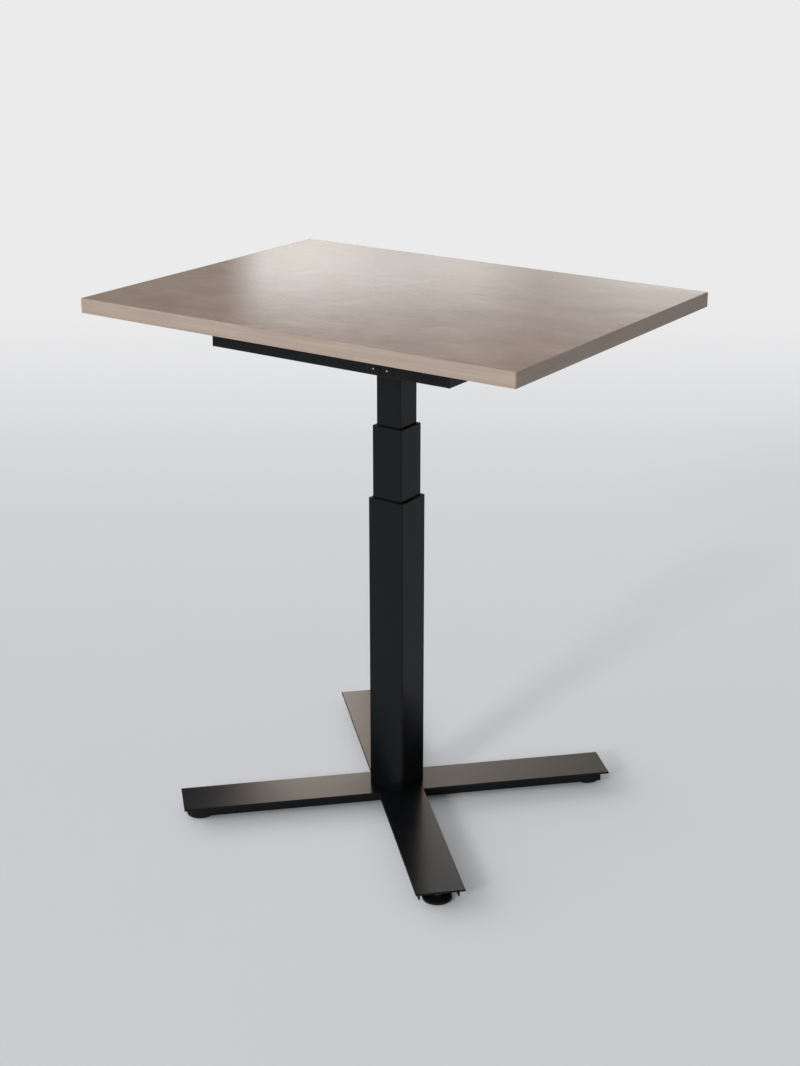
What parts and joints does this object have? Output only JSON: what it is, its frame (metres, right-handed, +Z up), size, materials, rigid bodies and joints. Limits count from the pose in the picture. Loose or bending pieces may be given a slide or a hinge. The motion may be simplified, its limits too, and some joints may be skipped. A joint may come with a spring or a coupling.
{
  "type": "standing desk",
  "caption": "Sit-stand desk: rectangular laminated top on a telescopic square lifting column with a cross-shaped base, levelling feet and an under-edge push-button control.",
  "frame": {"origin": "on the floor, under the column's axis and the middle of the tabletop", "axes": "+Z up, +X along the tabletop's long side to the user's right, +Y away from the user"},
  "size_m": [0.8, 0.6, 0.8936],
  "materials": {
    "powder_coated_steel": "satin fine-texture powder coat",
    "zinc_plated_steel": "zinc plated",
    "bright_steel": "ground and oiled",
    "acetal": "natural moulded",
    "black_collar_plastic": "moulded matt",
    "foot_rubber": "moulded matt",
    "cast_aluminium": "as cast",
    "gear_case_nylon": "glass-filled moulding",
    "motor_steel": "satin",
    "control_box_abs": "fine spark texture",
    "hand_control_abs": "fine spark texture",
    "button_plastic": "semi-gloss",
    "plated_brass": "plated",
    "particleboard": "pressed chips",
    "wood_laminate": "satin laminate with a cloudy grain",
    "balancing_laminate": "matt",
    "edge_banding": "satin with a fine lengthwise grain"
  },
  "bodies": {
    "base": {"outer_tube": "powder_coated_steel", "outer_collar": "black_collar_plastic", "column_foot_plate": "zinc_plated_steel", "hub_plate": "powder_coated_steel", "leg_rear_right": "powder_coated_steel", "leg_rear_left": "powder_coated_steel", "leg_front_left": "powder_coated_steel", "leg_front_right": "powder_coated_steel", "leg_bolts": "zinc_plated_steel", "foot_nuts": "zinc_plated_steel", "nut_tube": "zinc_plated_steel", "lower_spindle_nut": "acetal"},
    "middle_stage": {"middle_tube": "powder_coated_steel", "middle_collar": "black_collar_plastic", "middle_shoe": "acetal", "middle_floor": "zinc_plated_steel", "nut_carrier": "zinc_plated_steel", "upper_spindle_nut": "acetal", "hollow_spindle_bearing": "bright_steel"},
    "hollow_spindle": {"hollow_spindle": "bright_steel", "hollow_spindle_clip": "bright_steel"},
    "drive_spindle": {"drive_spindle": "bright_steel", "spindle_driver": "bright_steel"},
    "top": {"inner_tube": "powder_coated_steel", "inner_shoe": "acetal", "inner_cap": "cast_aluminium", "cap_screws": "zinc_plated_steel", "head_bearing": "bright_steel", "head_plate": "powder_coated_steel", "head_bolts": "zinc_plated_steel", "head_nuts": "zinc_plated_steel", "front_rail": "powder_coated_steel", "rear_rail": "powder_coated_steel", "left_rail": "powder_coated_steel", "right_rail": "powder_coated_steel", "left_cross_member": "powder_coated_steel", "right_cross_member": "powder_coated_steel", "rail_screws": "zinc_plated_steel", "gear_housing": "gear_case_nylon", "gear_screws": "zinc_plated_steel", "drive_motor": "motor_steel", "control_box": "control_box_abs", "control_box_screws": "zinc_plated_steel", "inlet_pins": "plated_brass", "hand_control": "hand_control_abs", "hand_control_screws": "zinc_plated_steel", "board_core": "particleboard", "top_laminate": "wood_laminate", "under_laminate": "balancing_laminate", "edge_band": "edge_banding"},
    "foot_rear_right": {"foot_pad_rear_right": "foot_rubber", "foot_stud_rear_right": "zinc_plated_steel"},
    "foot_rear_left": {"foot_pad_rear_left": "foot_rubber", "foot_stud_rear_left": "zinc_plated_steel"},
    "foot_front_left": {"foot_pad_front_left": "foot_rubber", "foot_stud_front_left": "zinc_plated_steel"},
    "foot_front_right": {"foot_pad_front_right": "foot_rubber", "foot_stud_front_right": "zinc_plated_steel"},
    "button_up": {"button_up": "button_plastic"},
    "button_down": {"button_down": "button_plastic"}
  },
  "joints": [
    {"name": "lower_lift", "type": "slide", "parent": "base", "child": "middle_stage", "axis": [0, 0, 1], "range_m": [-0.118, 0.205]},
    {"name": "upper_lift", "type": "slide", "parent": "middle_stage", "child": "top", "axis": [0, 0, 1], "range_m": [-0.118, 0.205]},
    {"name": "hollow_spindle_turn", "type": "hinge", "parent": "middle_stage", "child": "hollow_spindle", "pos_m": [0, 0, 0.35], "axis": [0, 0, 1], "range_deg": [-4260, 7390]},
    {"name": "drive_spindle_turn", "type": "hinge", "parent": "top", "child": "drive_spindle", "pos_m": [0, 0, 0.56], "axis": [0, 0, 1], "range_deg": [-4260, 7390]},
    {"name": "foot_rear_right_level", "type": "slide", "parent": "base", "child": "foot_rear_right", "axis": [0, 0, -1], "range_m": [0, 0.006]},
    {"name": "foot_rear_left_level", "type": "slide", "parent": "base", "child": "foot_rear_left", "axis": [0, 0, -1], "range_m": [0, 0.006]},
    {"name": "foot_front_left_level", "type": "slide", "parent": "base", "child": "foot_front_left", "axis": [0, 0, -1], "range_m": [0, 0.006]},
    {"name": "foot_front_right_level", "type": "slide", "parent": "base", "child": "foot_front_right", "axis": [0, 0, -1], "range_m": [0, 0.006]},
    {"name": "button_up_press", "type": "slide", "parent": "top", "child": "button_up", "axis": [0, 1, 0], "range_m": [0, 0.001], "stiffness_N_per_m": 1500, "springref_m": -0.0004},
    {"name": "button_down_press", "type": "slide", "parent": "top", "child": "button_down", "axis": [0, 1, 0], "range_m": [0, 0.001], "stiffness_N_per_m": 1500, "springref_m": -0.0004}
  ],
  "couplings": [
    {"joint": "upper_lift", "follows": "lower_lift", "ratio": 1},
    {"joint": "hollow_spindle_turn", "follows": "lower_lift", "rad_per_m": 628.32},
    {"joint": "drive_spindle_turn", "follows": "lower_lift", "rad_per_m": 628.32}
  ]
}
